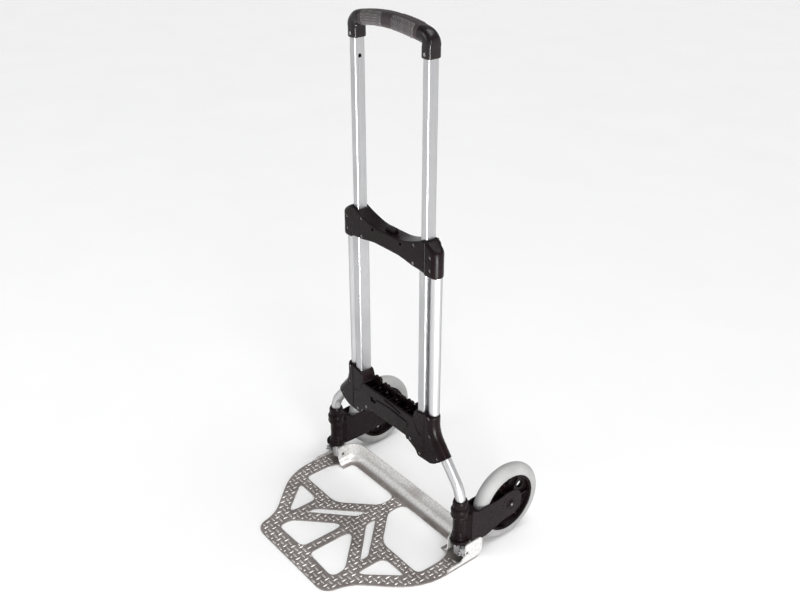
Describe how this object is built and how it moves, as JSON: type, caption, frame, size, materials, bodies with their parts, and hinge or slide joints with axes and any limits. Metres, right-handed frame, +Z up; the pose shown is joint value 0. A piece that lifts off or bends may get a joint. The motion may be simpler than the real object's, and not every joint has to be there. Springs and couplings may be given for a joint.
{
  "type": "hand truck",
  "caption": "Folding two-wheeled hand truck: a telescoping handle on an aluminium tube frame, a tread plate that folds up, and swing-in wheels.",
  "frame": {"origin": "on the ground, under the middle of the truck's box with the handle out, the toe plate down and the wheels back", "axes": "+X across the truck, +Y from the toe plate towards the wheels, +Z up along the handle"},
  "size_m": [0.484, 0.4964, 1.0838],
  "materials": {
    "round_tube": "satin anodised",
    "flat_tube": "satin anodised",
    "tread_plate": "rolled tread pattern, bare",
    "black_plastic": "moulded, fine grain",
    "glossy_plastic": "moulded, smooth",
    "grip_plastic": "moulded, matte",
    "grip_rubber": "ribbed",
    "grey_tyre": "smooth, matte",
    "bush_nylon": "machined",
    "gear_steel": "dark, oiled",
    "screw_steel": "black oxide",
    "zinc_steel": "zinc plated"
  },
  "bodies": {
    "frame": {"frame_tube_right": "round_tube", "frame_tube_left": "round_tube", "outer_sleeve_right": "flat_tube", "outer_sleeve_left": "flat_tube", "sleeve_top_bushes": "bush_nylon", "tube_collars": "black_plastic", "thrust_collars": "zinc_steel", "tube_foot_plugs": "black_plastic", "mid_bracket_front": "black_plastic", "mid_bracket_back": "black_plastic", "mid_bracket_screws": "screw_steel", "lower_bracket_front": "black_plastic", "lower_bracket_back": "black_plastic", "lower_bracket_screws": "screw_steel", "button_spring": "zinc_steel", "pivot_pin_right": "zinc_steel", "pivot_pin_left": "zinc_steel", "pivot_spacers": "bush_nylon"},
    "handle": {"inner_tube_right": "flat_tube", "inner_tube_left": "flat_tube", "inner_tube_guides": "bush_nylon", "handle_elbow_right": "glossy_plastic", "handle_elbow_left": "glossy_plastic", "handle_grip": "grip_plastic", "grip_pads": "grip_rubber", "elbow_screws": "screw_steel"},
    "button": {"release_button": "black_plastic"},
    "bolt_right": {"latch_bolt_right": "zinc_steel"},
    "bolt_left": {"latch_bolt_left": "zinc_steel"},
    "plate": {"toe_plate": "tread_plate", "drive_sector_right": "gear_steel", "drive_sector_left": "gear_steel", "sector_rivets": "zinc_steel"},
    "fork_right": {"wheel_fork_right": "black_plastic", "fork_bushes_right": "bush_nylon", "axle_right": "zinc_steel", "axle_nut_right": "zinc_steel", "axle_washers_right": "zinc_steel"},
    "wheel_right": {"wheel_rim_right": "black_plastic", "tyre_right": "grey_tyre", "wheel_bushes_right": "bush_nylon"},
    "fork_left": {"wheel_fork_left": "black_plastic", "fork_bushes_left": "bush_nylon", "axle_left": "zinc_steel", "axle_nut_left": "zinc_steel", "axle_washers_left": "zinc_steel"},
    "wheel_left": {"wheel_rim_left": "black_plastic", "tyre_left": "grey_tyre", "wheel_bushes_left": "bush_nylon"}
  },
  "joints": [
    {"name": "handle_slide", "type": "slide", "parent": "frame", "child": "handle", "axis": [0, 0, 1], "range_m": [-0.32, 0]},
    {"name": "button_press", "type": "slide", "parent": "frame", "child": "button", "axis": [0, 0, -1], "range_m": [0, 0.006], "stiffness_N_per_m": 600, "springref_m": -0.003, "deforming": ["button_spring"]},
    {"name": "bolt_right_slide", "type": "slide", "parent": "frame", "child": "bolt_right", "axis": [-1, 0, 0], "range_m": [0, 0.006]},
    {"name": "bolt_left_slide", "type": "slide", "parent": "frame", "child": "bolt_left", "axis": [1, 0, 0], "range_m": [0, 0.006]},
    {"name": "plate_fold", "type": "hinge", "parent": "frame", "child": "plate", "pos_m": [0, 0.03375, 0.027], "axis": [-1, 0, 0], "range_deg": [0, 90]},
    {"name": "fork_swing_right", "type": "hinge", "parent": "frame", "child": "fork_right", "pos_m": [0.216, 0.03375, 0.09], "axis": [0, 0, 1], "range_deg": [0, 90]},
    {"name": "fork_swing_left", "type": "hinge", "parent": "frame", "child": "fork_left", "pos_m": [-0.216, 0.03375, 0.09], "axis": [0, 0, -1], "range_deg": [0, 90]},
    {"name": "wheel_spin_right", "type": "hinge", "parent": "fork_right", "child": "wheel_right", "pos_m": [0.2182, 0.15975, 0.0885], "axis": [1, 0, 0], "continuous": true},
    {"name": "wheel_spin_left", "type": "hinge", "parent": "fork_left", "child": "wheel_left", "pos_m": [-0.2182, 0.15975, 0.0885], "axis": [1, 0, 0], "continuous": true}
  ],
  "couplings": [
    {"joint": "bolt_right_slide", "follows": "button_press", "ratio": 1},
    {"joint": "bolt_left_slide", "follows": "button_press", "ratio": 1},
    {"joint": "fork_swing_right", "follows": "plate_fold", "ratio": 1},
    {"joint": "fork_swing_left", "follows": "plate_fold", "ratio": 1}
  ]
}
